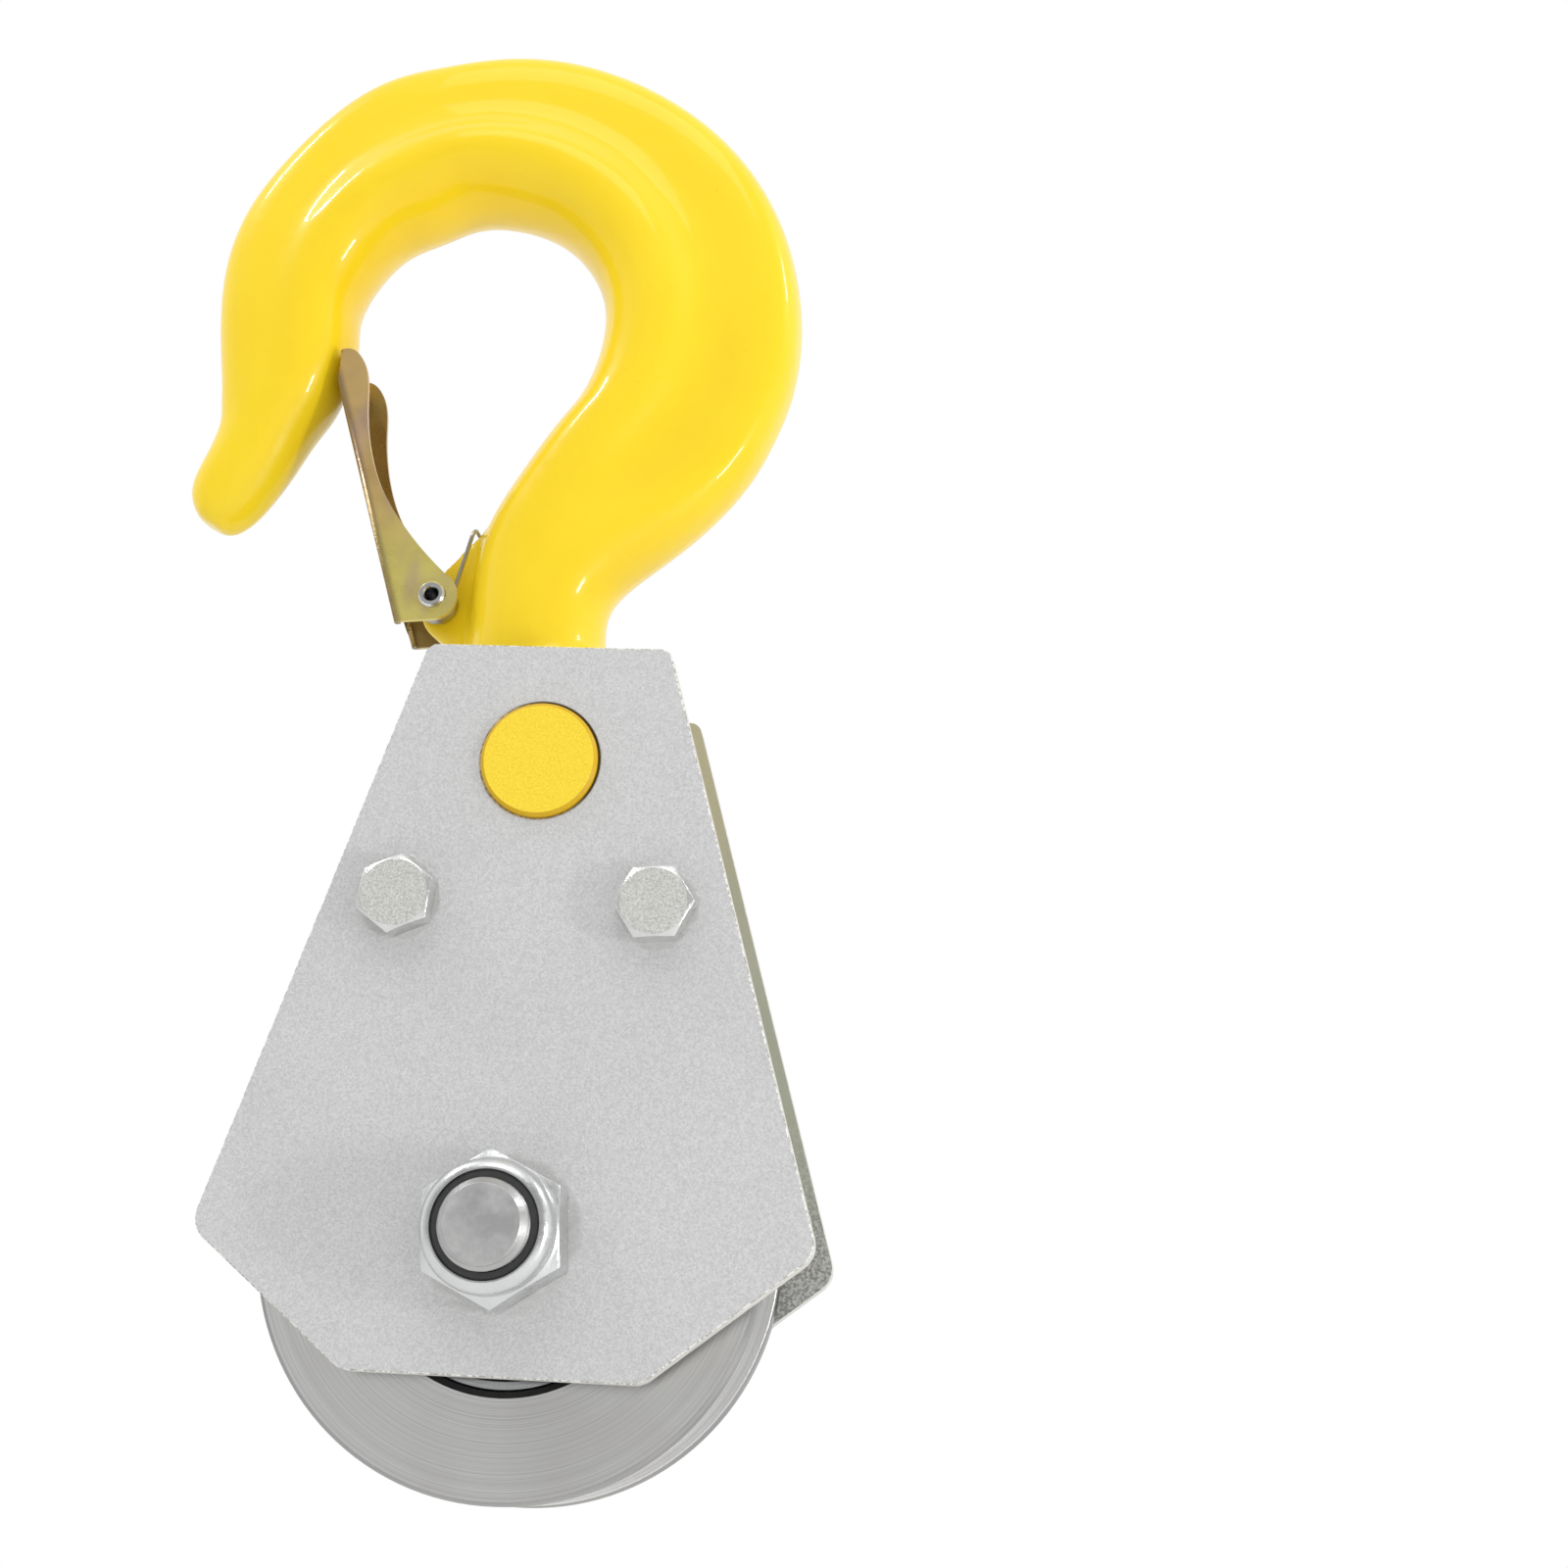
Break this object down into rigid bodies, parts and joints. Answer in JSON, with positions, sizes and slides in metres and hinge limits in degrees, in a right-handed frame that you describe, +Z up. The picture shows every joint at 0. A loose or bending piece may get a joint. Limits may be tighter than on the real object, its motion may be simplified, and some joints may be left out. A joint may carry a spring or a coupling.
{
  "type": "snatch block",
  "caption": "Snatch block with a swivelling safety hook, fixed steel cheek plates and one grooved sheave on ball bearings.",
  "frame": {"origin": "centre of the hook bowl", "axes": "+Z up along the hanging cheek plates, +X to the right, +Y to the back along the axle"},
  "size_m": [0.1697, 0.1084, 0.3636],
  "materials": {
    "yellow_enamel": "glossy",
    "plate_steel": "blasted",
    "zinc_steel": "bright zinc plated",
    "turned_steel": "turned",
    "dark_steel": "black oxide",
    "bearing_steel": "polished",
    "seal_black": "matte",
    "nylon_ring": "matte",
    "latch_zinc": "yellow passivated zinc",
    "spring_wire": "drawn"
  },
  "bodies": {
    "hook_body": {"hook": "yellow_enamel", "latch_rivet": "zinc_steel", "latch_spring": "spring_wire", "shank_nut": "dark_steel", "shank_nut_pin": "zinc_steel", "thrust_washer": "turned_steel"},
    "latch_body": {"latch": "latch_zinc"},
    "crosshead_body": {"crosshead": "yellow_enamel"},
    "cheek_body": {"front_cheek": "plate_steel", "rear_cheek": "plate_steel", "left_spacer_bar": "zinc_steel", "right_spacer_bar": "zinc_steel", "front_bolt_left": "zinc_steel", "front_bolt_right": "zinc_steel", "rear_bolt_left": "zinc_steel", "rear_bolt_right": "zinc_steel", "axle": "dark_steel", "axle_sleeve": "turned_steel", "front_spacer_bush": "seal_black", "rear_spacer_bush": "seal_black", "front_axle_nut": "zinc_steel", "rear_axle_nut": "zinc_steel", "front_nylon_ring": "nylon_ring", "rear_nylon_ring": "nylon_ring", "front_inner_race": "bearing_steel", "rear_inner_race": "bearing_steel", "bearing_distance_ring": "bearing_steel"},
    "sheave_body": {"sheave": "turned_steel", "front_outer_race": "bearing_steel", "rear_outer_race": "bearing_steel", "front_seal_ring": "seal_black", "rear_seal_ring": "seal_black", "front_dust_cover": "bearing_steel", "rear_dust_cover": "bearing_steel"},
    "ball_body": {"front_balls": "bearing_steel", "rear_balls": "bearing_steel"}
  },
  "joints": [
    {"name": "hook_swivel", "type": "hinge", "parent": "hook_body", "child": "crosshead_body", "pos_m": [0.03117, 0, -0.12229], "axis": [-0.247, 0, 0.969], "continuous": true},
    {"name": "cheek_swing", "type": "hinge", "parent": "crosshead_body", "child": "cheek_body", "pos_m": [0.03117, 0, -0.12229], "axis": [0, 1, 0], "range_deg": [-104.3, 75.7]},
    {"name": "sheave_spin", "type": "hinge", "parent": "cheek_body", "child": "sheave_body", "pos_m": [0.03117, -0.002, -0.22969], "axis": [0, 1, 0], "continuous": true},
    {"name": "ball_roll", "type": "hinge", "parent": "cheek_body", "child": "ball_body", "pos_m": [0.03117, -0.002, -0.22969], "axis": [0, 1, 0], "continuous": true},
    {"name": "latch_hinge", "type": "hinge", "parent": "hook_body", "child": "latch_body", "pos_m": [-0.00342, 0, -0.07445], "axis": [0, 1, 0], "range_deg": [0, 45], "stiffness_Nm_per_rad": 0.06, "springref_deg": -34.38}
  ],
  "couplings": [
    {"joint": "ball_roll", "follows": "sheave_spin", "ratio": 0.6035}
  ]
}
